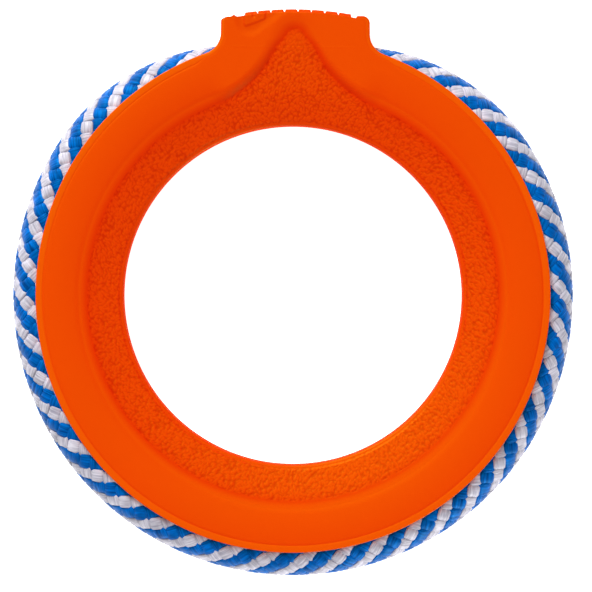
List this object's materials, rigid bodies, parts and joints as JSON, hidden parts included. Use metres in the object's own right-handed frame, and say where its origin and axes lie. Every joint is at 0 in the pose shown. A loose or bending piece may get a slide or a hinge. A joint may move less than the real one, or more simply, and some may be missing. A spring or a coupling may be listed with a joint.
{
  "type": "flying ring",
  "caption": "Moulded rubber throwing ring with a textured inner web, a grip tab and a braided rope set in a channel round its rim.",
  "frame": {"origin": "centre of the round hole, halfway through the ring", "axes": "+Z along the ring's axis, out of the face seen in the picture; +Y towards the tab; the ring lies flat"},
  "size_m": [0.231, 0.2328, 0.024],
  "materials": {
    "moulded_rubber": "satin moulded, web textured",
    "rope_white": "braided polyester, slight sheen",
    "rope_blue": "braided polyester, slight sheen",
    "rope_filler": "straight filler yarn",
    "adhesive": "cured, smooth"
  },
  "bodies": {
    "root": {"ring_body": "moulded_rubber", "rope_sheath": "rope_white", "rope_core": "rope_filler", "adhesive_plug_left": "adhesive", "adhesive_plug_right": "adhesive"}
  },
  "joints": []
}
